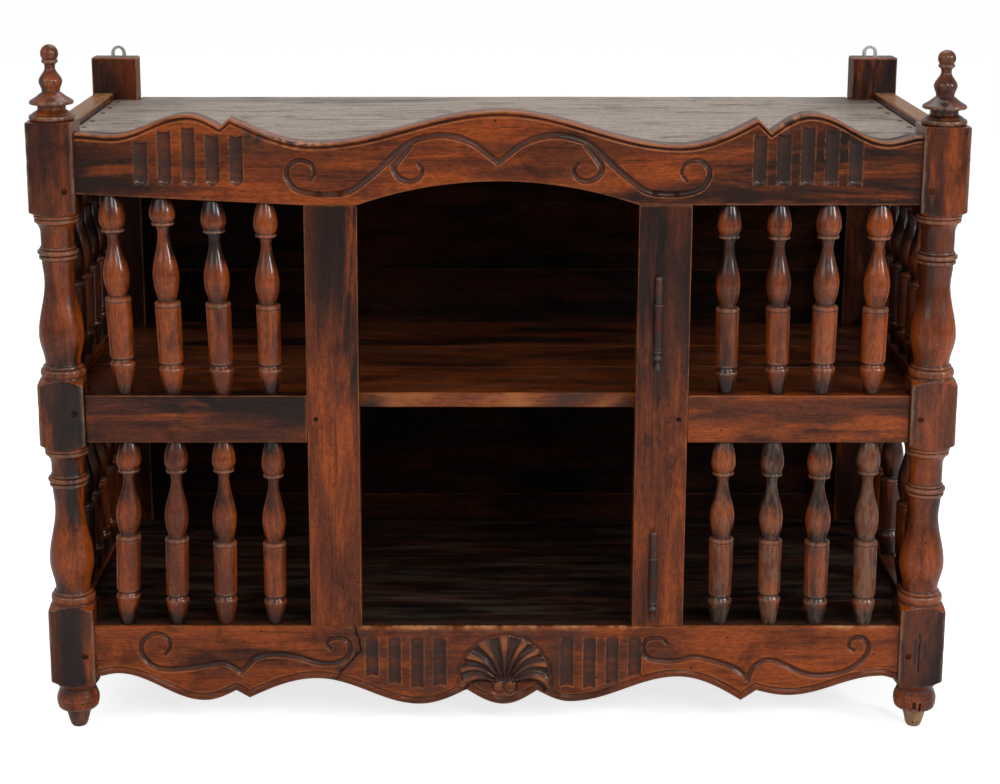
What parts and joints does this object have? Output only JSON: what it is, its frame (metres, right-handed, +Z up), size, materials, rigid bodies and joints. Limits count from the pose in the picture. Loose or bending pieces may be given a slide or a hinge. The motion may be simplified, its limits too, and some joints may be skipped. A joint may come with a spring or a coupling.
{
  "type": "bread cabinet",
  "caption": "Open walnut bread cabinet with turned corner posts, spindled front bays and sides, a central doorway, one shelf, a carved waved top rail and a carved apron.",
  "frame": {"origin": "on the floor, under the middle of the cabinet", "axes": "+X to the right along the front, +Y to the wall behind, +Z up"},
  "size_m": [1.01, 0.4376, 0.78],
  "materials": {
    "walnut_front": "waxed, worn at the edges",
    "walnut_turned": "waxed, polished by handling",
    "walnut_dark": "dark, dry inside surfaces",
    "walnut_shelf": "worn, lightly waxed",
    "walnut_top": "grey, dry, streaked",
    "iron": "dark forged iron",
    "zinc": "dull zinc"
  },
  "bodies": {
    "root": {"front_post_left": "walnut_front", "front_post_right": "walnut_front", "finial_left": "walnut_turned", "finial_right": "walnut_turned", "back_post_left": "walnut_dark", "back_post_right": "walnut_dark", "front_top_rail": "walnut_front", "front_middle_rail_left": "walnut_front", "front_middle_rail_right": "walnut_front", "front_bottom_rail": "walnut_front", "door_stile_left": "walnut_front", "door_stile_right": "walnut_front", "side_top_rail_left": "walnut_dark", "side_middle_rail_left": "walnut_dark", "side_bottom_rail_left": "walnut_dark", "side_top_rail_right": "walnut_dark", "side_middle_rail_right": "walnut_dark", "side_bottom_rail_right": "walnut_dark", "back_top_rail": "walnut_dark", "back_bottom_rail": "walnut_dark", "back_board_lower": "walnut_dark", "back_board_middle": "walnut_dark", "back_board_upper": "walnut_dark", "top_board_front": "walnut_top", "top_board_middle": "walnut_top", "top_board_back": "walnut_top", "shelf_board_front": "walnut_shelf", "shelf_board_middle": "walnut_shelf", "shelf_board_back": "walnut_shelf", "floor_board_front": "walnut_dark", "floor_board_middle": "walnut_dark", "floor_board_back": "walnut_dark", "top_bearer_left": "walnut_dark", "top_bearer_right": "walnut_dark", "top_bearer_front": "walnut_dark", "shelf_bearer_left": "walnut_dark", "shelf_bearer_right": "walnut_dark", "floor_bearer_left": "walnut_dark", "floor_bearer_right": "walnut_dark", "floor_bearer_front": "walnut_dark", "front_spindles_upper_left": "walnut_turned", "front_spindles_upper_right": "walnut_turned", "front_spindles_lower_left": "walnut_turned", "front_spindles_lower_right": "walnut_turned", "side_spindles_upper_left": "walnut_turned", "side_spindles_upper_right": "walnut_turned", "side_spindles_lower_left": "walnut_turned", "side_spindles_lower_right": "walnut_turned", "hinge_barrel_upper": "iron", "hinge_barrel_lower": "iron", "hinge_pin_upper": "iron", "hinge_pin_lower": "iron", "hanger_plate_left": "zinc", "hanger_plate_right": "zinc", "hanger_screws": "iron", "front_joint_pegs": "walnut_dark", "side_joint_pegs": "walnut_dark", "board_nails": "iron", "bearer_nails": "iron"}
  },
  "joints": []
}
